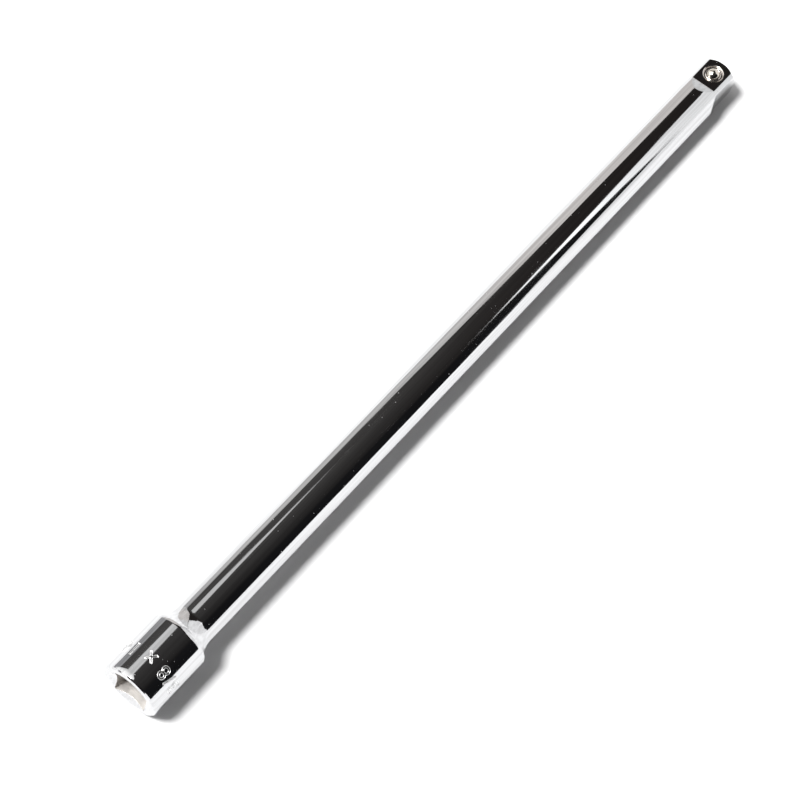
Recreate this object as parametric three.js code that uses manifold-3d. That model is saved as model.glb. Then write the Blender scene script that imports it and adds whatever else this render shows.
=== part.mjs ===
// A 3/8 inch square drive socket extension bar, 10 inches long, in millimetres.
// +X runs along the bar from the socket's mouth to the drive end, +Z is up through the detent ball,
// and the origin is on the bar's axis at half its length. The bar's own outline is drawn by
// station: the distance from the socket's mouth.
import * as THREE from "three";
import { mergeVertices } from "three/addons/utils/BufferGeometryUtils.js";
import Module from "manifold-3d";

const LENGTH = 254; // 10 in over all

// Shank and socket barrel, turned from one forging.
const SHANK_R = 6.14;
const BARREL_R = 8.684;
const BARREL_END = 18.1; // station where the barrel's cylinder ends
const SHOULDER_R = 1.8; // round at the barrel's rear edge
const NECK_ANGLE = THREE.MathUtils.degToRad(41); // cone of the neck, measured from the bar's axis
const NECK_FILLET_R = 8.0; // hollow curve that runs the neck into the shank
const MOUTH_CHAMFER = 0.45;

// Female square in the barrel.
const SOCKET_AF = 9.65; // across flats
const SOCKET_DEPTH = 13;
const SOCKET_CORNER_R = 0.4;
const LEAD_IN_R = 6.6; // radius of the 120 degree countersink at the mouth
const LEAD_IN_SLOPE = Math.tan(THREE.MathUtils.degToRad(60));
const DRILL_R = 4.4; // pilot drilling under the square
const DRILL_POINT = DRILL_R / Math.tan(THREE.MathUtils.degToRad(59));
const GROOVE_R = 5.5; // ring groove that a detent ball snaps into
const GROOVE_STATION = 5.4;
const GROOVE_WIDTH = 2.2;

// Male square at the drive end.
const DRIVE_AF = 9.53; // across flats
const DRIVE_CORNER_R = 6.08; // turned radius of the square's corners
const FLAT_START = 243; // station where the full flat begins
const RUN_OUT_ANGLE = THREE.MathUtils.degToRad(21); // slope of the milled run-out before each flat
const CORNER_TAPER = [239, 242]; // stations between which the shank tapers to the corner radius
const DOME_R = 8.0; // spherical end
const END_FLAT_R = 1.8;

// Spring-loaded detent in the drive's top flat.
const BALL_R = 1.984; // 5/32 in ball
const BALL_PROUD = 1.25; // how far the ball stands above the flat
const BALL_STATION = 247.918;
const BALL_HOLE_R = 2.06;
const BALL_HOLE_FLOOR = -2.2; // height of the hole's floor, where the spring sits
const LIP_R = 1.945; // the staked lip that holds the ball in
const LIP_DEPTH = 0.25; // the lip's crest, below the flat
const LIP_TAPER = 0.15; // height over which the lip closes in from the hole
const STAKE_R = 3.03; // outer edge of the staking groove round the lip
const STAKE_FLOOR = [2.25, 2.62]; // radii of the groove's floor
const STAKE_DEPTH = 0.42;

// Detent spring.
const WIRE_R = 0.22;
const COIL_R = 1.5; // to the middle of the wire
const ACTIVE_TURNS = 3;
const CLOSED_PITCH = 0.5; // pitch of the closed turn at each end
const SPRING_GAP = 0.05; // between the spring and what it bears on

const ROUND_SEGMENTS = 48;
const HOLE_SEGMENTS = 32;
const ARC_STEPS = 5;

const wasm = await Module();
wasm.setup();

function toSolid(geometry) {
  const bare = geometry.clone();
  bare.deleteAttribute("normal");
  bare.deleteAttribute("uv");
  const merged = mergeVertices(bare, 1e-4);
  return new wasm.Manifold(
    new wasm.Mesh({
      numProp: 3,
      vertProperties: new Float32Array(merged.attributes.position.array),
      triVerts: new Uint32Array(merged.index.array),
    }),
  );
}

function toGeometry(solid) {
  const mesh = solid.getMesh();
  const geometry = new THREE.BufferGeometry();
  geometry.setAttribute("position", new THREE.BufferAttribute(mesh.vertProperties, 3));
  geometry.setIndex(new THREE.BufferAttribute(mesh.triVerts, 1));
  geometry.computeVertexNormals();
  return geometry;
}

const point = (radius, along) => new THREE.Vector2(radius, along);

// Points on a round stretch of a lathe outline, from one angle to another about (radius, along).
function arc(radius, along, r, from, to) {
  const points = [];
  for (let i = 0; i <= ARC_STEPS; i++) {
    const angle = from + ((to - from) * i) / ARC_STEPS;
    points.push(point(radius + r * Math.cos(angle), along + r * Math.sin(angle)));
  }
  return points;
}

// Revolves an outline of (radius, station) points about the bar's axis.
function turned(outline) {
  const geometry = new THREE.LatheGeometry(outline, ROUND_SEGMENTS);
  return toSolid(geometry.rotateZ(-Math.PI / 2));
}

// Revolves an outline of (radius, height) points about the ball's hole.
function drilled(outline) {
  const geometry = new THREE.LatheGeometry(outline, HOLE_SEGMENTS);
  geometry.rotateX(Math.PI / 2);
  geometry.translate(BALL_STATION, 0, 0);
  return toSolid(geometry);
}

// The turned blank: mouth, barrel, neck, shank and domed drive end.
function blank() {
  const neckTop = BARREL_R - SHOULDER_R * (1 - Math.cos(NECK_ANGLE));
  const neckTopAt = BARREL_END + SHOULDER_R * Math.sin(NECK_ANGLE);
  const neckFoot = SHANK_R + NECK_FILLET_R * (1 - Math.cos(NECK_ANGLE));
  const neckFootAt = neckTopAt + (neckTop - neckFoot) / Math.tan(NECK_ANGLE);
  const neckEnd = neckFootAt + NECK_FILLET_R * Math.sin(NECK_ANGLE);
  const domeCentre = LENGTH - Math.sqrt(DOME_R ** 2 - END_FLAT_R ** 2);
  return turned([
    point(0, 0),
    point(BARREL_R - MOUTH_CHAMFER, 0),
    point(BARREL_R, MOUTH_CHAMFER),
    ...arc(BARREL_R - SHOULDER_R, BARREL_END, SHOULDER_R, 0, NECK_ANGLE),
    ...arc(SHANK_R + NECK_FILLET_R, neckEnd, NECK_FILLET_R, Math.PI + NECK_ANGLE, Math.PI),
    point(SHANK_R, CORNER_TAPER[0]),
    point(DRIVE_CORNER_R, CORNER_TAPER[1]),
    ...arc(0, domeCentre, DOME_R, Math.acos(DRIVE_CORNER_R / DOME_R), Math.acos(END_FLAT_R / DOME_R)),
    point(0, LENGTH),
  ]);
}

// What milling one flat of the drive square takes away, turned to its side of the bar.
function flatCut(quarterTurns) {
  const half = DRIVE_AF / 2;
  const clear = SHANK_R + 2;
  const outline = new THREE.Shape([
    point(FLAT_START - (clear - half) / Math.tan(RUN_OUT_ANGLE), clear),
    point(FLAT_START, half),
    point(LENGTH + 1, half),
    point(LENGTH + 1, clear),
  ]);
  const geometry = new THREE.ExtrudeGeometry(outline, { depth: 2 * clear, bevelEnabled: false });
  geometry.translate(0, 0, -clear);
  geometry.rotateX(Math.PI / 2 + (quarterTurns * Math.PI) / 2);
  return toSolid(geometry);
}

function roundedSquare(side, cornerR) {
  const flat = side / 2 - cornerR;
  const shape = new THREE.Shape();
  for (let i = 0; i < 4; i++) {
    const from = (i * Math.PI) / 2;
    const centre = point(Math.SQRT2 * flat, 0).rotateAround(point(0, 0), from + Math.PI / 4);
    shape.absarc(centre.x, centre.y, cornerR, from, from + Math.PI / 2, false);
  }
  return shape;
}

// The female square with its countersunk mouth, ring groove and drill point.
function socketCut() {
  const square = new THREE.ExtrudeGeometry(roundedSquare(SOCKET_AF, SOCKET_CORNER_R), {
    depth: SOCKET_DEPTH + 1,
    bevelEnabled: false,
    curveSegments: 3,
  });
  square.rotateY(Math.PI / 2);
  square.translate(-1, 0, 0);
  const leadIn = [
    point(0, -1),
    point(LEAD_IN_R + LEAD_IN_SLOPE, -1),
    point(0, LEAD_IN_R / LEAD_IN_SLOPE),
  ];
  const groove = [
    point(0, GROOVE_STATION - GROOVE_WIDTH / 2),
    point(GROOVE_R, GROOVE_STATION - GROOVE_WIDTH / 2),
    point(GROOVE_R, GROOVE_STATION + GROOVE_WIDTH / 2),
    point(0, GROOVE_STATION + GROOVE_WIDTH / 2),
  ];
  const drill = [
    point(0, SOCKET_DEPTH - 1),
    point(DRILL_R, SOCKET_DEPTH - 1),
    point(DRILL_R, SOCKET_DEPTH),
    point(0, SOCKET_DEPTH + DRILL_POINT),
  ];
  return toSolid(square).add(turned(leadIn)).add(turned(groove)).add(turned(drill));
}

// The blind hole for the ball and spring, the opening in its lip, and the staking groove.
function detentCut() {
  const top = DRIVE_AF / 2;
  const crest = top - LIP_DEPTH;
  const drillPoint = BALL_HOLE_R / Math.tan(THREE.MathUtils.degToRad(59));
  return drilled([
    point(0, BALL_HOLE_FLOOR - drillPoint),
    point(BALL_HOLE_R, BALL_HOLE_FLOOR),
    point(BALL_HOLE_R, crest - LIP_TAPER),
    point(LIP_R, crest),
    point(STAKE_FLOOR[0], top - STAKE_DEPTH),
    point(STAKE_FLOOR[1], top - STAKE_DEPTH),
    point(STAKE_R, top),
    point(STAKE_R, top + 1),
    point(0, top + 1),
  ]);
}

function barBody() {
  let body = blank();
  for (let quarterTurns = 0; quarterTurns < 4; quarterTurns++) {
    body = body.subtract(flatCut(quarterTurns));
  }
  return toGeometry(body.subtract(socketCut()).subtract(detentCut()));
}

// A compression spring's centre line: one closed turn, the active turns, one closed turn.
class SpringLine extends THREE.Curve {
  constructor(bottom, top) {
    super();
    this.bottom = bottom;
    this.height = top - bottom;
  }

  getPoint(t) {
    const turns = t * (ACTIVE_TURNS + 2);
    const activePitch = (this.height - 2 * CLOSED_PITCH) / ACTIVE_TURNS;
    const active = THREE.MathUtils.clamp(turns - 1, 0, ACTIVE_TURNS);
    const rise = (turns - active) * CLOSED_PITCH + active * activePitch;
    const angle = turns * 2 * Math.PI;
    return new THREE.Vector3(
      COIL_R * Math.cos(angle),
      COIL_R * Math.sin(angle),
      this.bottom + rise,
    );
  }
}

function detentSpring(bottom, top) {
  const section = new THREE.Shape().absarc(0, 0, WIRE_R, 0, 2 * Math.PI);
  const line = new SpringLine(bottom + WIRE_R, top - WIRE_R);
  return new THREE.ExtrudeGeometry(section, {
    extrudePath: line,
    steps: 14 * (ACTIVE_TURNS + 2),
    curveSegments: 4,
    bevelEnabled: false,
  });
}

const steel = (color, roughness) =>
  new THREE.MeshStandardMaterial({ color, roughness, metalness: 1 });

function part(name, geometry, material) {
  const mesh = new THREE.Mesh(geometry, material);
  mesh.name = name;
  return mesh;
}

const ballHeight = DRIVE_AF / 2 + BALL_PROUD - BALL_R;
const wireToBall = BALL_R + WIRE_R + SPRING_GAP;
const springTop = ballHeight - Math.sqrt(wireToBall ** 2 - COIL_R ** 2) + WIRE_R;
const springBottom = BALL_HOLE_FLOOR + SPRING_GAP;

const ball = part("detent_ball", new THREE.SphereGeometry(BALL_R, 32, 20), steel(0xd8d2c4, 0.12));
ball.rotation.x = Math.PI / 2;
ball.position.set(BALL_STATION, 0, ballHeight);

const spring = part("detent_spring", detentSpring(springBottom, springTop), steel(0x8d9096, 0.35));
spring.position.set(BALL_STATION, 0, 0);

const bar = new THREE.Group();
bar.add(part("bar_body", barBody(), steel(0xe6e7ea, 0.06)));
bar.add(ball);
bar.add(spring);
bar.position.x = -LENGTH / 2;

const extension = new THREE.Group();
extension.add(bar);
export default extension;
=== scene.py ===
"""A chrome-plated socket extension bar on a pale studio floor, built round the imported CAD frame."""

import math

import bmesh
import bpy
import numpy as np
from mathutils import Matrix, Vector


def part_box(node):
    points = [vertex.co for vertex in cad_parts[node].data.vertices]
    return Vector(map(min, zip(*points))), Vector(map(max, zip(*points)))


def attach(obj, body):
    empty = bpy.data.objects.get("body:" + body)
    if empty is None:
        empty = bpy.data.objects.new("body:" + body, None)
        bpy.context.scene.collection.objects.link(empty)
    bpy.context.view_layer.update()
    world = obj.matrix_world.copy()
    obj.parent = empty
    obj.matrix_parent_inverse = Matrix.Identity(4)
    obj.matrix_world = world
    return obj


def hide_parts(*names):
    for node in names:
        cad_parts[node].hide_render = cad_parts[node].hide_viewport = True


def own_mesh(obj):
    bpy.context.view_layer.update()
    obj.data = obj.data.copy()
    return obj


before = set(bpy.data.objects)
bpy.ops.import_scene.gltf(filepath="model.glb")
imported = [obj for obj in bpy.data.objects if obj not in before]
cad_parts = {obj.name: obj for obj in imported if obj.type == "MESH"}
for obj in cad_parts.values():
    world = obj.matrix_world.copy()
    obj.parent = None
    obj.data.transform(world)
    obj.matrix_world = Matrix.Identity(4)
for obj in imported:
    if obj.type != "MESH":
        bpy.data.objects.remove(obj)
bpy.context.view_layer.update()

# ---------------------------------------------------------------- sizes, in millimetres
MM = 0.001
bar_low, bar_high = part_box("bar_body")
ball_low, ball_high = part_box("detent_ball")
spring_low, spring_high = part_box("detent_spring")

# The turned outside. A station is a distance along the bar from the socket's mouth.
LENGTH = (bar_high.x - bar_low.x) / MM
BARREL_R = bar_high.z / MM
SHANK_R = 6.14
MOUTH_CHAMFER = 0.45
DUBBING = 0.08  # how far polishing has pulled the barrel in at its mouth
DUBBING_LENGTH = 0.85
DUBBING_R = 12.0
BARREL_END = 18.1  # station where the barrel's cylinder ends and its rear rounding starts
SHOULDER_R = 1.8
NECK_ANGLE = math.radians(41)
NECK_FILLET_R = 8.0
NECK_START = BARREL_END + SHOULDER_R * math.tan(NECK_ANGLE / 2)  # the rear corner, before rounding
NECK_END = NECK_START + (BARREL_R - SHANK_R) / math.tan(NECK_ANGLE)

# The square socket and what lies under it.
SOCKET_HALF = 9.65 / 2
SOCKET_CORNER_R = 0.4
SOCKET_DEPTH = 13.0
LEAD_IN_R = 6.6
LEAD_IN_SLOPE = math.tan(math.radians(60))
GROOVE = (4.3, 6.5)  # stations of the ring groove's two walls
GROOVE_R = 5.5
DRILL_R = 4.4
POINT_SLOPE = math.tan(math.radians(59))  # of a drill's 118 degree point
DRILL_POINT = DRILL_R / POINT_SLOPE

# The drive square, whose corners are turned to a radius that the shank thins to.
DRIVE_HALF = 9.53 / 2
DRIVE_CORNER_R = 6.08
CORNER_TAPER = (239.0, 240.6, 242.0)  # stations where the thinning starts, is half done and ends
TAPER_BLEND_R = 10.0
DRIVE_EDGE = 0.12  # rounding of the square's long edges
FLAT_START = 243.0
RUN_OUT_SLOPE = math.tan(math.radians(21))
RUN_OUT_BLEND = 0.5
DOME_R = 8.0
END_FLAT_R = 1.8
DOME_EDGE = 0.08  # rounding where the dome starts and ends
DOME_CENTRE = LENGTH - math.sqrt(DOME_R**2 - END_FLAT_R**2)

# The detent ball, its hole, the staked lip that holds it, and the staking groove round that.
BALL_R = (ball_high.z - ball_low.z) / 2 / MM
BALL_STATION = (ball_low.x + ball_high.x) / 2 / MM + LENGTH / 2
BALL_HOLE_R = 2.06
LIP_R = 1.945
LIP_DEPTH = 0.25
LIP_TAPER = 0.15
STAKE_R = 3.03
STAKE_FLOOR = (2.25, 2.62)  # radii of the groove's floor
STAKE_SHOULDER = (2.8, 0.1)  # radius and depth where the groove's outer wall turns out to its edge
STAKE_DEPTH = 0.42

# Columns of the body's mesh in an eighth of a turn, counted from the middle of a flat.
EIGHTH_COLUMNS = 30
FLAT_COLUMNS = 12
EDGE_COLUMNS = 6

# The size mark, struck round the barrel in outlined figures.
MARK_TEXT = "3/8 x 10"
MARK_HEIGHT = 3.8
MARK_STATION = 9.1  # of the figures' feet
MARK_START = math.radians(-80)
MARK_GROOVE_R = 0.15
CAPITAL_SHARE = 0.69  # a capital's height as a share of the font's size

# The detent spring.
WIRE_R = 0.22
SPRING_GAP = 0.05  # between the spring and the hole's floor
COIL_TURNS = 5
CLOSED_PITCH = 0.5  # of the first and last turn

# Stations where the barrel and the shank touch the floor.
FLOOR_CONTACTS = (18.0, 239.0)

# ---------------------------------------------------------------- the studio's panels
# Edges as (how far along the bar the direction points, degrees about the bar's axis).
CURVE_SPAN = 100.0  # the most degrees that an edge may reach, either way
EDGE_SOFTNESS = 1.5
FAR_EDGE = [
    (0.0, 66), (0.30, 66), (0.35, 63), (0.402, 58.5), (0.447, 48), (0.478, 42),
    (0.4975, 38.5), (0.528, 35), (0.555, 32), (0.70, 27), (0.82, 20), (1.0, 20),
]
PANEL_LOW = [(0.0, 5), (0.12, 0), (0.20, 8), (0.29, 12), (0.33, 18), (0.385, 24), (1.0, 24)]
PANEL_HIGH = [
    (0.0, 78), (0.08, 78), (0.12, 92), (0.15, 90), (0.21, 60),
    (0.285, 37), (0.33, 36), (0.385, 23), (1.0, -60),
]
WEDGE_LOW = [(0.0, 0), (0.455, -40), (0.465, -44), (0.51, -54), (0.53, -68), (0.55, -95), (1.0, -95)]
WEDGE_HIGH = [
    (0.0, -90), (0.44, -55), (0.46, -42), (0.51, -31), (0.55, -21), (0.65, -14), (0.82, 17), (1.0, 17),
]
LOW_STRIP = [(0.0, -99), (0.46, -99), (0.47, -84), (0.50, -80), (0.54, -74), (1.0, -74)]


# ---------------------------------------------------------------- node helpers
def new_material(name):
    """A node material with only its Principled shader and output; returns it, its tree and its shader."""
    material = bpy.data.materials.new(name)
    material.use_nodes = True
    tree = material.node_tree
    tree.nodes.clear()
    shader = tree.nodes.new("ShaderNodeBsdfPrincipled")
    output = tree.nodes.new("ShaderNodeOutputMaterial")
    tree.links.new(shader.outputs["BSDF"], output.inputs["Surface"])
    return material, tree, shader


def plug(tree, socket, value):
    """Links value into socket if it is another node's output, and sets it otherwise."""
    if isinstance(value, bpy.types.NodeSocket):
        tree.links.new(value, socket)
    else:
        socket.default_value = value


def math_node(tree, operation, *values):
    """The result of one arithmetic operation on numbers or other nodes' outputs."""
    node = tree.nodes.new("ShaderNodeMath")
    node.operation = operation
    for socket, value in zip(node.inputs, values):
        plug(tree, socket, value)
    return node.outputs[0]


def remap(tree, value, low, high, to_low=0.0, to_high=1.0, smooth=True):
    """Maps value from low..high to to_low..to_high, held at its ends."""
    node = tree.nodes.new("ShaderNodeMapRange")
    node.interpolation_type = "SMOOTHSTEP" if smooth else "LINEAR"
    for name, number in (
        ("From Min", low),
        ("From Max", high),
        ("To Min", to_low),
        ("To Max", to_high),
    ):
        plug(tree, node.inputs[name], number)
    plug(tree, node.inputs["Value"], value)
    return node.outputs["Result"]


def mix_color(tree, factor, a, b):
    """Colour a where factor is 0 and b where it is 1, each (red, green, blue) or a node's output."""
    node = tree.nodes.new("ShaderNodeMix")
    node.data_type = "RGBA"
    plug(tree, node.inputs["Factor"], factor)
    for name, color in (("A", a), ("B", b)):
        plug(tree, node.inputs[name], (*color, 1) if isinstance(color, tuple) else color)
    return node.outputs["Result"]


def object_coordinates(tree, scale=(1, 1, 1)):
    """The surface's coordinates in the frame, in metres, stretched by scale."""
    coordinates = tree.nodes.new("ShaderNodeTexCoord")
    mapping = tree.nodes.new("ShaderNodeMapping")
    mapping.inputs["Scale"].default_value = scale
    tree.links.new(coordinates.outputs["Object"], mapping.inputs["Vector"])
    return mapping.outputs["Vector"]


def noise(tree, vector, scale, detail=3.0):
    """Fractal noise at a scale in cells per metre of vector."""
    node = tree.nodes.new("ShaderNodeTexNoise")
    node.inputs["Scale"].default_value = scale
    node.inputs["Detail"].default_value = detail
    tree.links.new(vector, node.inputs["Vector"])
    return node.outputs["Fac"]


def bump(tree, height, strength, distance, normal=None):
    """A normal bent by height, with distance in metres, on top of another bump's normal if given."""
    node = tree.nodes.new("ShaderNodeBump")
    node.inputs["Strength"].default_value = strength
    node.inputs["Distance"].default_value = distance
    tree.links.new(height, node.inputs["Height"])
    if normal is not None:
        tree.links.new(normal, node.inputs["Normal"])
    return node.outputs["Normal"]


# ---------------------------------------------------------------- materials
def chrome():
    """Mirror chrome: fine polishing lines along the bar, uneven haze, and pin-prick specks."""
    material, tree, shader = new_material("mirror_chrome")
    shader.inputs["Metallic"].default_value = 1.0
    smears = noise(tree, object_coordinates(tree), 90.0)
    lines = noise(tree, object_coordinates(tree, (0.35, 28, 28)), 45.0, 4.0)
    waves = noise(tree, object_coordinates(tree, (0.6, 6, 6)), 60.0, 2.0)
    specks = tree.nodes.new("ShaderNodeTexVoronoi")
    specks.inputs["Scale"].default_value = 640.0
    tree.links.new(object_coordinates(tree), specks.inputs["Vector"])
    pit = remap(tree, specks.outputs["Distance"], 0.05, 0.11, 1.0, 0.0)
    chosen = math_node(tree, "GREATER_THAN", noise(tree, object_coordinates(tree), 260.0), 0.55)
    pit = math_node(tree, "MULTIPLY", pit, chosen)
    color = mix_color(tree, remap(tree, lines, 0.35, 0.65), (0.61, 0.61, 0.62), (0.72, 0.725, 0.735))
    plug(tree, shader.inputs["Base Color"], color)
    rough = remap(tree, smears, 0.35, 0.7, 0.03, 0.07)
    rough = math_node(tree, "ADD", rough, math_node(tree, "MULTIPLY", pit, 0.3))
    plug(tree, shader.inputs["Roughness"], rough)
    normal = bump(tree, waves, 0.25, 0.00006)
    normal = bump(tree, lines, 0.35, 0.00003, normal)
    normal = bump(tree, pit, 0.35, 0.00002, normal)
    tree.links.new(normal, shader.inputs["Normal"])
    return material


def broached_steel():
    """The socket's inside: plated but never polished, with broaching lines along it."""
    material, tree, shader = new_material("broached_steel")
    shader.inputs["Metallic"].default_value = 0.85
    haze = noise(tree, object_coordinates(tree), 300.0)
    lines = noise(tree, object_coordinates(tree, (2, 40, 40)), 60.0, 4.0)
    color = mix_color(tree, haze, (0.60, 0.575, 0.55), (0.70, 0.675, 0.65))
    plug(tree, shader.inputs["Base Color"], color)
    plug(tree, shader.inputs["Roughness"], remap(tree, haze, 0.3, 0.7, 0.36, 0.5))
    tree.links.new(bump(tree, lines, 0.2, 0.00004), shader.inputs["Normal"])
    return material


def struck_steel(name, dark, light, roughness):
    """Metal that a punch has worked: plated, but satin, with roughness that varies by a fifth."""
    material, tree, shader = new_material(name)
    shader.inputs["Metallic"].default_value = 1.0
    grain = noise(tree, object_coordinates(tree), 1200.0, 4.0)
    plug(tree, shader.inputs["Base Color"], mix_color(tree, grain, dark, light))
    rough = remap(tree, grain, 0.3, 0.7, roughness * 0.8, roughness * 1.2)
    plug(tree, shader.inputs["Roughness"], rough)
    tree.links.new(bump(tree, grain, 0.04, 0.00001), shader.inputs["Normal"])
    return material


def ball_steel():
    """Bearing steel, a little warm with oil, and hazed unevenly."""
    material, tree, shader = new_material("ball_steel")
    shader.inputs["Metallic"].default_value = 1.0
    haze = noise(tree, object_coordinates(tree), 900.0, 4.0)
    color = mix_color(tree, haze, (0.66, 0.60, 0.52), (0.78, 0.74, 0.68))
    plug(tree, shader.inputs["Base Color"], color)
    plug(tree, shader.inputs["Roughness"], remap(tree, haze, 0.3, 0.7, 0.05, 0.11))
    tree.links.new(bump(tree, haze, 0.03, 0.00001), shader.inputs["Normal"])
    return material


def spring_wire():
    """Drawn spring wire with die lines and an oily grey sheen."""
    material, tree, shader = new_material("spring_wire")
    shader.inputs["Metallic"].default_value = 1.0
    drawn = noise(tree, object_coordinates(tree, (1, 1, 8)), 1500.0, 4.0)
    color = mix_color(tree, drawn, (0.24, 0.25, 0.26), (0.42, 0.42, 0.43))
    plug(tree, shader.inputs["Base Color"], color)
    plug(tree, shader.inputs["Roughness"], remap(tree, drawn, 0.3, 0.7, 0.25, 0.42))
    tree.links.new(bump(tree, drawn, 0.1, 0.00001), shader.inputs["Normal"])
    return material


def floor_paint():
    """Plain matt white studio floor."""
    material, tree, shader = new_material("studio_floor")
    grain = noise(tree, object_coordinates(tree), 40.0)
    color = mix_color(tree, grain, (0.71, 0.713, 0.72), (0.73, 0.733, 0.74))
    plug(tree, shader.inputs["Base Color"], color)
    shader.inputs["Roughness"].default_value = 0.9
    shader.inputs["Specular IOR Level"].default_value = 0.1
    return material


# ---------------------------------------------------------------- the body's outline
def rounded(corners, guard):
    """Rounds each (station, radius, round, steps) corner, and holds it between two rows guard away."""
    points = []
    for i, (station, radius, fillet, steps) in enumerate(corners):
        here = np.array((station, radius))
        if fillet == 0 or i in (0, len(corners) - 1):
            points.append(tuple(here))
            continue
        before = np.array(corners[i - 1][:2]) - here
        after = np.array(corners[i + 1][:2]) - here
        before /= np.linalg.norm(before)
        after /= np.linalg.norm(after)
        half_turn = (math.pi - math.acos(np.clip(before @ after, -1, 1))) / 2
        tangent = fillet * math.tan(half_turn)
        middle = before + after
        middle /= np.linalg.norm(middle)
        centre = here + middle * (fillet / math.cos(half_turn))
        side = (after - before) / np.linalg.norm(after - before)
        points.append(tuple(here + before * (tangent + guard)))
        for step in range(steps + 1):
            angle = half_turn * (2 * step / steps - 1)
            reach = side * math.sin(angle) - middle * math.cos(angle)
            points.append(tuple(centre + reach * fillet))
        points.append(tuple(here + after * (tangent + guard)))
    return points


def outer_outline():
    """(station, radius) rows of the turned outside, from the mouth's rim to the end flat's edge."""
    corners = [
        (0.0, LEAD_IN_R + 0.8, 0, 0),
        (0.0, BARREL_R - MOUTH_CHAMFER, 0.05, 3),
        (MOUTH_CHAMFER - DUBBING, BARREL_R - DUBBING, 0.15, 4),
        (MOUTH_CHAMFER + DUBBING_LENGTH, BARREL_R, DUBBING_R, 6),
        (NECK_START, BARREL_R, SHOULDER_R, 10),
        (NECK_END, SHANK_R, NECK_FILLET_R, 20),
    ]
    for station in range(30, 236, 20):
        corners.append((float(station), SHANK_R, 0, 0))
    corners += [
        (CORNER_TAPER[0], SHANK_R, TAPER_BLEND_R, 4),
        (CORNER_TAPER[1], (SHANK_R + DRIVE_CORNER_R) / 2, 0, 0),
        (CORNER_TAPER[2], DRIVE_CORNER_R, TAPER_BLEND_R, 4),
    ]
    start = math.acos(DRIVE_CORNER_R / DOME_R)
    stop = math.acos(END_FLAT_R / DOME_R)
    steps = 36
    for step in range(steps + 1):
        angle = start + (stop - start) * step / steps
        fillet = DOME_EDGE if step in (0, steps) else 0
        corners.append((DOME_CENTRE + DOME_R * math.sin(angle), DOME_R * math.cos(angle), fillet, 3))
    corners.append((LENGTH, END_FLAT_R / 2, 0, 0))
    return with_run_out_rows(rounded(corners, 0.02))


def with_run_out_rows(rows):
    """Adds close rows over the flats' run-outs, and wider ones along the flats, to the outline's rows."""
    run_out = FLAT_START - (SHANK_R - DRIVE_HALF) / RUN_OUT_SLOPE - 0.2
    stations, radii = np.array(sorted(rows, key=lambda row: row[0])).T
    close = np.arange(run_out, FLAT_START + RUN_OUT_BLEND, 0.08)
    wide = np.arange(FLAT_START + 1.0, LENGTH - 3.2, 0.8)
    added = [(s, float(np.interp(s, stations, radii))) for s in np.concatenate([close, wide])]
    straight = [row for row in rows if row[0] < run_out]
    drive = sorted([row for row in rows if row[0] >= run_out] + added, key=lambda row: row[0])
    least_gap = 0.004
    kept = [drive[0]]
    for before, row in zip(drive, drive[1:]):
        on_dome = row[1] < DRIVE_CORNER_R - 0.2
        if on_dome or row[0] - before[0] > least_gap:
            kept.append(row)
    return straight + kept


def flat_height(station):
    """Height of the drive's flats above the axis: a sloped run-out that eases into the flat."""
    ahead = FLAT_START - station
    return DRIVE_HALF + RUN_OUT_SLOPE * (ahead + math.sqrt(ahead**2 + (RUN_OUT_BLEND / 3) ** 2)) / 2


def fold(angle):
    """An angle about the bar, folded into the eighth of a turn from the middle of a flat."""
    quarter = math.pi / 2
    return abs((angle + quarter / 2) % quarter - quarter / 2)


def socket_radius(angle):
    """Distance from the axis to the female square's wall."""
    a = fold(angle)
    inner = SOCKET_HALF - SOCKET_CORNER_R
    if SOCKET_HALF * math.tan(a) <= inner:
        return SOCKET_HALF / math.cos(a)
    reach = math.sqrt(2) * inner
    off = math.pi / 4 - a
    return reach * math.cos(off) + math.sqrt(SOCKET_CORNER_R**2 - (reach * math.sin(off)) ** 2)


def edge_angles(radius, height):
    """The angles from a flat's middle where its edge's round starts and ends; None if no flat shows."""
    if height >= radius:
        return None
    across = math.sqrt((radius - DRIVE_EDGE) ** 2 - (height - DRIVE_EDGE) ** 2)
    return math.atan2(across, height), math.atan2(across, height - DRIVE_EDGE)


def drive_radius(angle, radius, height):
    """Distance from the axis to the outside, where a circle of that radius has flats at that height."""
    edges = edge_angles(radius, height)
    if edges is None:
        return radius
    a = fold(angle)
    if a <= edges[0]:
        return height / math.cos(a)
    if a >= edges[1]:
        return radius
    reach = radius - DRIVE_EDGE
    off = a - edges[1]
    return reach * math.cos(off) + math.sqrt(DRIVE_EDGE**2 - (reach * math.sin(off)) ** 2)


def eighth(edges):
    """Column angles over an eighth of a turn, gathered at a flat's rounded edge."""
    narrowest_flat = math.radians(6)
    narrowest_edge = math.radians(0.6)
    margin = math.radians(0.45)
    start, stop = edges or (0.0, 0.0)
    start = max(start, narrowest_flat)
    stop = max(stop, start + narrowest_edge)
    flat = np.linspace(0, start - margin, FLAT_COLUMNS)
    edge = np.linspace(start, stop, EDGE_COLUMNS)
    corner_columns = EIGHTH_COLUMNS + 1 - FLAT_COLUMNS - EDGE_COLUMNS
    corner = np.linspace(stop + margin, math.pi / 4, corner_columns)
    return np.concatenate([flat, edge, corner])


def around(eighth_angles):
    """Column angles over the whole turn, from an eighth's."""
    quarter = np.concatenate([eighth_angles, (math.pi / 2 - eighth_angles)[::-1][1:-1]])
    return np.concatenate([quarter + k * math.pi / 2 for k in range(4)])


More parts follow.
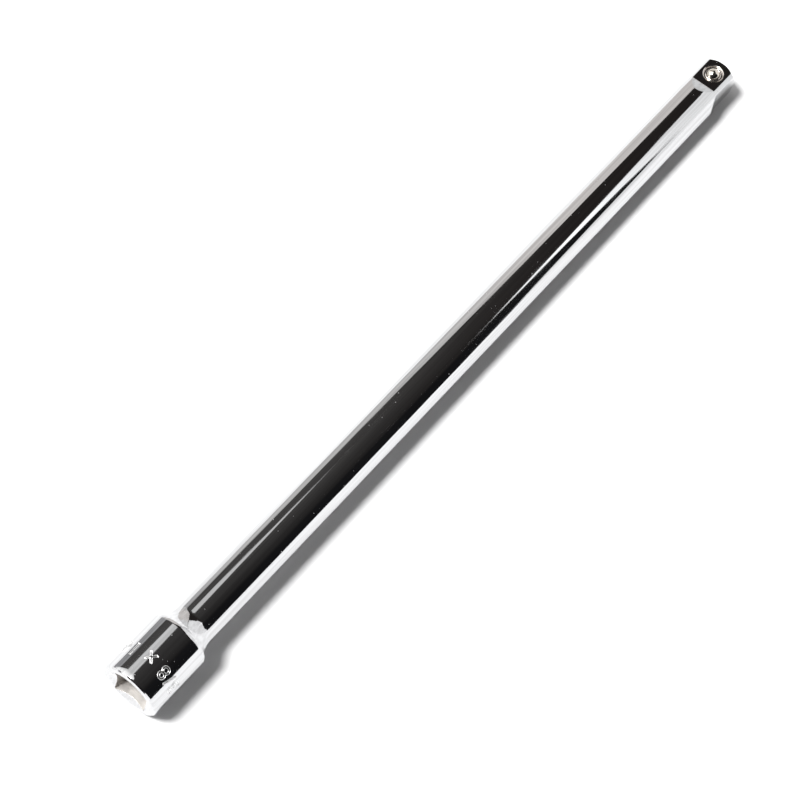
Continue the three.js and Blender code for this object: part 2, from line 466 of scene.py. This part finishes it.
def body_rows():
    """Every ring of the body's mesh as (stations, radii, angles), from the socket's floor to its tip.

    Also returns how many of them, from the first, lie inside the square. Rows a few hundredths of a
    millimetre apart keep its corners crisp under smooth shading, and spare rows break up long faces.
    """
    even = around(np.linspace(0, math.pi / 4, EIGHTH_COLUMNS + 1))
    square = np.array([socket_radius(a) for a in even])
    rim = np.maximum(LEAD_IN_R, square + 0.03)
    crease = np.maximum((LEAD_IN_R - square) / LEAD_IN_SLOPE, 0.03)
    groove = np.maximum(square + 0.01, GROOVE_R)
    level = np.ones_like(even)
    lead_in = [(0 * level, rim + 0.06), (0 * level, rim + 0.02), (0.01 * level, rim - 0.012)]
    for t in (0.1, 0.4, 0.7, 0.95, 0.985):
        lead_in.append((0.01 + (crease - 0.01) * t, rim + (square - rim) * t))
    inside = [(crease + 0.008, square), (crease + 0.04, square)]
    for station in (1.3, 2.8, GROOVE[0] - 0.05, GROOVE[0]):
        inside.append((station * level, square))
    inside += [
        (GROOVE[0] * level + 0.01, groove - 0.004),
        (GROOVE[0] * level + 0.05, groove),
        (GROOVE[1] * level - 0.05, groove),
        (GROOVE[1] * level - 0.01, groove - 0.004),
    ]
    for station in (GROOVE[1], GROOVE[1] + 0.05, 9.5, SOCKET_DEPTH - 0.05, SOCKET_DEPTH):
        inside.append((station * level, square))
    inside += [
        (SOCKET_DEPTH * level, square * 0.98),
        (SOCKET_DEPTH * level, (DRILL_R + 0.05) * level),
        (SOCKET_DEPTH * level, DRILL_R * level),
        ((SOCKET_DEPTH + 0.03) * level, (DRILL_R - 0.05) * level),
        ((SOCKET_DEPTH + DRILL_POINT * 0.9) * level, DRILL_R * 0.1 * level),
    ]
    rows = [(s, r, even) for s, r in reversed(lead_in + inside)]
    plain = around(eighth(None))
    blend_from = 40.0
    blend_to = 230.0
    for station, radius in outer_outline():
        height = flat_height(station)
        edges = edge_angles(radius, height)
        if edges is None:
            share = np.clip((station - blend_from) / (blend_to - blend_from), 0, 1)
            angles = even * (1 - share) + plain * share
        else:
            angles = around(eighth(edges))
        radii = np.array([drive_radius(a, radius, height) for a in angles])
        rows.append((station * level, radii, angles))
    return rows, len(inside)


def add_object(name, data):
    """A new object in the scene."""
    obj = bpy.data.objects.new(name, data)
    bpy.context.scene.collection.objects.link(obj)
    return obj


def shade_smooth(mesh):
    """Smooth-shades every face."""
    mesh.polygons.foreach_set("use_smooth", [True] * len(mesh.polygons))


def mesh_object(name, vertices, faces, material):
    """A smooth-shaded object from vertices in metres."""
    mesh = bpy.data.meshes.new(name)
    mesh.from_pydata([tuple(v) for v in vertices], [], faces)
    mesh.materials.append(material)
    tidy = bmesh.new()
    tidy.from_mesh(mesh)
    bmesh.ops.recalc_face_normals(tidy, faces=tidy.faces)
    tidy.to_mesh(mesh)
    tidy.free()
    shade_smooth(mesh)
    return add_object(name, mesh)


def evaluated_mesh(obj):
    """A new mesh of obj as its modifiers and bevels make it."""
    bpy.context.view_layer.update()
    return bpy.data.meshes.new_from_object(obj.evaluated_get(bpy.context.evaluated_depsgraph_get()))


def skin(count, rings):
    """Quads between neighbouring closed rings of count vertices each, starting at vertex 0."""
    faces = []
    for ring in range(rings - 1):
        for i in range(count):
            a = ring * count + i
            b = ring * count + (i + 1) % count
            faces.append((a, b, b + count, a + count))
    return faces


def bar_blank(material, inner_material):
    """The whole forging before the detent's hole and the size mark are cut into it."""
    rows, inner_rings = body_rows()
    count = len(rows[0][0])
    vertices = []
    for stations, radii, angles in rows:
        for s, r, a in zip(stations, radii, angles):
            vertices.append(((s - LENGTH / 2) * MM, r * math.sin(a) * MM, r * math.cos(a) * MM))
    faces = skin(count, len(rows))
    drill_tip = len(vertices)
    vertices.append(((SOCKET_DEPTH + DRILL_POINT - LENGTH / 2) * MM, 0, 0))
    vertices.append((LENGTH / 2 * MM, 0, 0))
    last_ring = (len(rows) - 1) * count
    for i in range(count):
        j = (i + 1) % count
        faces.append((j, i, drill_tip))
        faces.append((last_ring + i, last_ring + j, drill_tip + 1))
    blank = mesh_object("bar_forging", vertices, faces, material)
    blank.data.materials.append(inner_material)
    for face in blank.data.polygons:
        if max(face.vertices) < inner_rings * count or drill_tip in face.vertices:
            face.material_index = 1
    return blank


# ---------------------------------------------------------------- cutters
def lathe(outline, segments, centre, material, name):
    """A closed solid turned about a vertical line through centre, from (radius, height) points."""
    vertices = []
    for radius, height in outline[1:-1]:
        for i in range(segments):
            a = 2 * math.pi * i / segments
            vertices.append((centre[0] + radius * math.cos(a), centre[1] + radius * math.sin(a), height))
    faces = skin(segments, len(outline) - 2)
    low = len(vertices)
    vertices.append((centre[0], centre[1], outline[0][1]))
    vertices.append((centre[0], centre[1], outline[-1][1]))
    top = (len(outline) - 3) * segments
    for i in range(segments):
        j = (i + 1) % segments
        faces.append((j, i, low))
        faces.append((top + i, top + j, low + 1))
    return mesh_object(name, [Vector(v) * MM for v in vertices], faces, material)


def detent_cutter(material):
    """The ball's blind hole, the opening in its staked lip, and the staking groove round it."""
    top = DRIVE_HALF
    floor = spring_low.z / MM - SPRING_GAP
    groove_floor = top - STAKE_DEPTH
    outline = rounded(
        [
            (0, floor - BALL_HOLE_R / POINT_SLOPE, 0, 0),
            (BALL_HOLE_R, floor, 0, 0),
            (BALL_HOLE_R, top - LIP_DEPTH - LIP_TAPER, 0, 0),
            (LIP_R, top - LIP_DEPTH, 0.03, 3),
            (STAKE_FLOOR[0], groove_floor, 0.08, 4),
            (STAKE_FLOOR[1], groove_floor, 0.12, 5),
            (STAKE_SHOULDER[0], top - STAKE_SHOULDER[1], 0.3, 8),
            (STAKE_R, top + 0.003, 0, 0),
            (STAKE_R, top + 0.5, 0, 0),
            (0, top + 0.5, 0, 0),
        ],
        0.01,
    )
    centre = (BALL_STATION - LENGTH / 2, 0)
    return lathe(outline, 96, centre, material, "detent_cutter")


def figure_outlines(text, height):
    """Closed loops of (x, y) points along the outlines of a line of text, in millimetres."""
    font = bpy.data.curves.new("size_mark", "FONT")
    font.body = text
    font.size = height / CAPITAL_SHARE
    font.space_character = 1.15
    font.offset = 0.06
    font.fill_mode = "NONE"
    font.resolution_u = 5
    flat = add_object("size_mark", font)
    outline = bmesh.new()
    outline.from_mesh(flat.to_mesh())
    flat.to_mesh_clear()
    bpy.data.objects.remove(flat)

    def long_edges():
        longest = 0.35
        return [edge for edge in outline.edges if edge.calc_length() > longest]

    while long_edges():
        bmesh.ops.subdivide_edges(outline, edges=long_edges(), cuts=1)
    outline.verts.index_update()
    loops = []
    left = set(outline.verts)
    while left:
        vertex = min(left, key=lambda v: v.index)
        loop = []
        while vertex is not None:
            left.discard(vertex)
            loop.append((vertex.co.x, vertex.co.y))
            beside = [edge.other_vert(vertex) for edge in vertex.link_edges]
            vertex = next((v for v in beside if v in left), None)
        loops.append(loop)
    outline.free()
    return loops


def size_mark_cutter(material):
    """Round-bottomed grooves that follow the outlines of generic figures, wrapped round the barrel."""
    groove = bpy.data.curves.new("size_mark_groove", "CURVE")
    groove.dimensions = "3D"
    groove.bevel_depth = MARK_GROOVE_R * MM
    groove.bevel_resolution = 1
    for loop in figure_outlines(MARK_TEXT, MARK_HEIGHT):
        spline = groove.splines.new("POLY")
        spline.points.add(len(loop) - 1)
        spline.use_cyclic_u = True
        for point, (x, y) in zip(spline.points, loop):
            angle = MARK_START + x / BARREL_R
            along = MARK_STATION - y - LENGTH / 2
            place = Vector((along, BARREL_R * math.sin(angle), BARREL_R * math.cos(angle))) * MM
            point.co = (*place, 1)
    tube = add_object("size_mark_groove", groove)
    mesh = evaluated_mesh(tube)
    bpy.data.objects.remove(tube)
    mesh.materials.clear()
    mesh.materials.append(material)
    return add_object("size_mark_cutter", mesh)


def cut(body, cutter, crossed=False):
    """Cuts cutter out of body for good, and removes it. crossed says that the cutter crosses itself."""
    modifier = body.modifiers.new("cut", "BOOLEAN")
    modifier.operation = "DIFFERENCE"
    modifier.solver = "EXACT"
    modifier.material_mode = "TRANSFER"
    modifier.use_self = crossed
    modifier.object = cutter
    result = evaluated_mesh(body)
    body.modifiers.clear()
    body.data = result
    bpy.data.objects.remove(cutter)


def drop_crumbs(body):
    """Deletes the slivers that a cut can leave loose, so that the body is one solid."""
    whole = bmesh.new()
    whole.from_mesh(body.data)
    left = set(whole.verts)
    islands = []
    while left:
        island = [left.pop()]
        for vertex in island:
            for edge in vertex.link_edges:
                other = edge.other_vert(vertex)
                if other in left:
                    left.discard(other)
                    island.append(other)
        islands.append(island)
    islands.sort(key=len)
    crumbs = [vertex for island in islands[:-1] for vertex in island]
    bmesh.ops.delete(whole, geom=crumbs, context="VERTS")
    whole.to_mesh(body.data)
    whole.free()


def surface_kind(face, mesh):
    """Names the regular surface that a face lies on: the barrel, the drive's top flat, or another."""
    out_of_round = 0.0015
    places = [mesh.vertices[v].co for v in face.vertices]
    radii = [math.hypot(place.y, place.z) / MM for place in places]
    stations = [place.x / MM + LENGTH / 2 for place in places]
    on_barrel = (
        min(radii) > BARREL_R - out_of_round
        and min(stations) > MOUTH_CHAMFER + DUBBING_LENGTH
        and max(stations) < NECK_START
        and abs(face.normal.x) < 0.02
    )
    if on_barrel:
        return "barrel"
    if face.normal.z > 0.9999 and min(stations) > FLAT_START + 0.3:
        return "flat"
    return "other"


def true_normals(body):
    """Gives the barrel its round normals and the top flat its flat ones, where cuts broke the grid.

    Everywhere else the normal is left at zero, which keeps the automatic one.
    """
    mesh = body.data
    kinds = [surface_kind(face, mesh) for face in mesh.polygons]
    normals = [(0.0, 0.0, 0.0)] * len(mesh.loops)
    beside = {}
    for face, kind in zip(mesh.polygons, kinds):
        for loop, vertex in zip(face.loop_indices, face.vertices):
            if kind == "barrel":
                place = mesh.vertices[vertex].co
                normals[loop] = tuple(Vector((0, place.y, place.z)).normalized())
            elif kind == "flat":
                normals[loop] = (0.0, 0.0, 1.0)
        for key in face.edge_keys:
            beside.setdefault(key, []).append(face)
    crisp = math.radians(12)
    for edge in mesh.edges:
        faces = beside.get(edge.key, [])
        if len(faces) == 2 and kinds[faces[0].index] != kinds[faces[1].index]:
            edge.use_edge_sharp = faces[0].normal.angle(faces[1].normal) > crisp
    shade_smooth(mesh)
    mesh.normals_split_custom_set(normals)


# ---------------------------------------------------------------- pieces
def make_bar(material, inner_material):
    """The forging, with the detent's hole and the size mark cut into it."""
    body = bar_blank(material, inner_material)
    staked = struck_steel("staked_steel", (0.62, 0.58, 0.55), (0.68, 0.64, 0.61), 0.19)
    cut(body, detent_cutter(staked))
    stamped = struck_steel("stamped_steel", (0.88, 0.88, 0.88), (0.95, 0.95, 0.95), 0.35)
    cut(body, size_mark_cutter(stamped), crossed=True)
    drop_crumbs(body)
    true_normals(body)
    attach(body, "bar")
    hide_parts("bar_body")


def make_ball(material):
    """The detent ball, as a fine sphere."""
    mesh = bpy.data.meshes.new("ball_polished")
    ball = bmesh.new()
    bmesh.ops.create_icosphere(ball, subdivisions=5, radius=BALL_R * MM)
    bmesh.ops.translate(ball, vec=(ball_low + ball_high) / 2, verts=ball.verts)
    ball.to_mesh(mesh)
    ball.free()
    shade_smooth(mesh)
    mesh.materials.append(material)
    obj = add_object("ball_polished", mesh)
    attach(obj, "ball")
    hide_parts("detent_ball")


def make_spring(material):
    """The detent spring: a closed turn, three open turns, a closed turn."""
    per_turn = 40
    sides = 12
    open_turns = COIL_TURNS - 2
    coil = (spring_high.x - spring_low.x) / 2 / MM - WIRE_R
    low = spring_low.z / MM + WIRE_R
    height = (spring_high.z - spring_low.z) / MM - 2 * WIRE_R
    open_pitch = (height - 2 * CLOSED_PITCH) / open_turns
    middle = BALL_STATION - LENGTH / 2
    vertices = []
    for i in range(COIL_TURNS * per_turn + 1):
        turn = i / per_turn
        opened = min(max(turn - 1, 0), open_turns)
        z = low + (turn - opened) * CLOSED_PITCH + opened * open_pitch
        a = 2 * math.pi * turn
        for k in range(sides):
            b = 2 * math.pi * k / sides
            r = coil + WIRE_R * math.cos(b)
            vertices.append((middle + r * math.cos(a), r * math.sin(a), z + WIRE_R * math.sin(b)))
    rings = COIL_TURNS * per_turn + 1
    faces = skin(sides, rings)
    faces.append(tuple(range(sides)))
    faces.append(tuple(range((rings - 1) * sides, rings * sides)))
    spring = mesh_object("spring_coil", [Vector(v) * MM for v in vertices], faces, material)
    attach(spring, "bar")
    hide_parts("detent_spring")
    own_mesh(spring)


# ---------------------------------------------------------------- studio
def make_floor():
    """A wide pale floor under the bar, tipped by the hair that lets the thinner shank rest on it too."""
    tip = math.atan2(BARREL_R - SHANK_R, FLOOR_CONTACTS[1] - FLOOR_CONTACTS[0])
    size = 3.0  # metres
    steps = 8
    vertices = []
    for i in range(steps + 1):
        for j in range(steps + 1):
            vertices.append((size * (i / steps - 0.5), size * (j / steps - 0.5), 0))
    faces = []
    for i in range(steps):
        for j in range(steps):
            a = i * (steps + 1) + j
            faces.append((a, a + 1, a + steps + 2, a + steps + 1))
    floor = mesh_object("studio_floor", vertices, faces, floor_paint())
    pivot = Vector(((FLOOR_CONTACTS[0] - LENGTH / 2) * MM, 0, -BARREL_R * MM))
    floor.matrix_world = Matrix.Translation(pivot) @ Matrix.Rotation(-tip, 4, "Y")


def edge_curve(tree, value, points):
    """The angle in degrees at value, on straight lines through the given (value, angle) points."""
    node = tree.nodes.new("ShaderNodeFloatCurve")
    curve = node.mapping.curves[0]
    while len(curve.points) < len(points):
        curve.points.new(0.5, 0.5)
    for point, (x, degrees) in zip(curve.points, points):
        point.location = (x, (degrees / CURVE_SPAN + 1) / 2)
        point.handle_type = "VECTOR"
    node.mapping.update()
    tree.links.new(value, node.inputs["Value"])
    return math_node(tree, "MULTIPLY_ADD", node.outputs["Value"], 2 * CURVE_SPAN, -CURVE_SPAN)


def make_world():
    """The studio that the chrome mirrors: a dark ceiling with pale panels, and white below the horizon.

    Each panel's edges are angles about the bar's axis, 0 straight up and positive on the far side,
    that change with how far along the bar a direction points.
    """
    world = bpy.data.worlds.new("studio")
    world.use_nodes = True
    tree = world.node_tree
    tree.nodes.clear()
    coordinates = tree.nodes.new("ShaderNodeTexCoord")
    split = tree.nodes.new("ShaderNodeSeparateXYZ")
    tree.links.new(coordinates.outputs["Generated"], split.inputs[0])
    x, y, z = split.outputs
    around_bar = math_node(tree, "MULTIPLY", math_node(tree, "ARCTAN2", y, z), 180 / math.pi)
    ahead = math_node(tree, "MAXIMUM", x, 0.0)
    behind = math_node(tree, "MULTIPLY", x, -1.0)

    def above(edge):
        over = math_node(tree, "SUBTRACT", around_bar, edge)
        return remap(tree, over, -EDGE_SOFTNESS, EDGE_SOFTNESS)

    def below(edge, softness=EDGE_SOFTNESS):
        under = math_node(tree, "SUBTRACT", edge, around_bar)
        return remap(tree, under, -softness, softness)

    def between(low, high):
        return math_node(tree, "MULTIPLY", above(low), below(high))

    # The dark ceiling, lighter towards the far side.
    overhead = remap(tree, around_bar, -50.0, 40.0, smooth=False)
    color = mix_color(tree, overhead, (0.018, 0.017, 0.017), (0.078, 0.075, 0.073))
    color = mix_color(tree, remap(tree, ahead, 0.36, 0.52), color, (0.022, 0.019, 0.018))
    color = mix_color(tree, below(-50.0, 8.0), color, (0.01, 0.01, 0.011))

    # The pale wall on the far side.
    far_edge = edge_curve(tree, ahead, FAR_EDGE)
    far_color = mix_color(tree, remap(tree, ahead, 0.29, 0.35), (0.36, 0.36, 0.37), (0.66, 0.65, 0.64))
    far_color = mix_color(tree, remap(tree, ahead, 0.42, 0.50), far_color, (0.78, 0.745, 0.72))
    far_color = mix_color(tree, remap(tree, ahead, 0.86, 0.93), far_color, (0.82, 0.82, 0.82))
    color = mix_color(tree, above(far_edge), color, far_color)

    # The bright panel overhead.
    panel_low = edge_curve(tree, ahead, PANEL_LOW)
    panel_low = math_node(tree, "ADD", panel_low, remap(tree, behind, 0.6, 0.88, 0.0, 45.0))
    panel = between(panel_low, edge_curve(tree, ahead, PANEL_HIGH))
    panel_color = mix_color(tree, remap(tree, ahead, 0.08, 0.26), (1.5, 1.5, 1.48), (0.78, 0.78, 0.775))
    color = mix_color(tree, panel, color, panel_color)

    # The bright wedge on the near side, the strip below it, and white below the horizon.
    wedge = between(edge_curve(tree, ahead, WEDGE_LOW), edge_curve(tree, ahead, WEDGE_HIGH))
    wedge_color = mix_color(tree, remap(tree, ahead, 0.49, 0.55), (1.5, 1.5, 1.5), (1.02, 1.02, 1.02))
    color = mix_color(tree, wedge, color, wedge_color)
    color = mix_color(tree, below(edge_curve(tree, ahead, LOW_STRIP)), color, (1.1, 1.1, 1.1))
    color = mix_color(tree, remap(tree, z, -0.01, 0.01), (1.2, 1.2, 1.21), color)

    background = tree.nodes.new("ShaderNodeBackground")
    output = tree.nodes.new("ShaderNodeOutputWorld")
    tree.links.new(color, background.inputs["Color"])
    tree.links.new(background.outputs["Background"], output.inputs["Surface"])
    bpy.context.scene.world = world


def make_key_light():
    """One large distant key, almost overhead, from the far side of the bar."""
    light = bpy.data.lights.new("key", "SUN")
    light.energy = 4.6
    light.angle = math.radians(15)
    light.color = (1.0, 0.995, 0.985)
    key = add_object("key", light)
    towards = Vector((-0.42, 0.29, 1.0))
    key.rotation_euler = towards.to_track_quat("Z", "Y").to_euler()


def make_camera():
    """A long lens beyond the socket's mouth, high on the near side, rolled a little."""
    place = Vector((-0.3229, -0.1928, 0.6345))
    aim = Vector((-0.0181, 0.0016, 0.0))
    roll = math.radians(7.5)
    back = (place - aim).normalized()
    right = Vector((0, 0, 1)).cross(back).normalized()
    up = back.cross(right)
    turned_right = math.cos(roll) * right + math.sin(roll) * up
    turned_up = -math.sin(roll) * right + math.cos(roll) * up
    camera = bpy.data.cameras.new("camera")
    camera.sensor_width = 36.0
    camera.lens = 124.2
    camera.clip_start = 0.01
    camera.clip_end = 20.0
    holder = add_object("camera", camera)
    rotation = Matrix((turned_right, turned_up, back)).transposed()
    holder.matrix_world = Matrix.Translation(place) @ rotation.to_4x4()
    bpy.context.scene.camera = holder


make_camera()
make_floor()
make_world()
make_key_light()
make_bar(chrome(), broached_steel())
make_ball(ball_steel())
make_spring(spring_wire())

scene = bpy.context.scene
scene.view_settings.view_transform = "Standard"
scene.view_settings.look = "None"
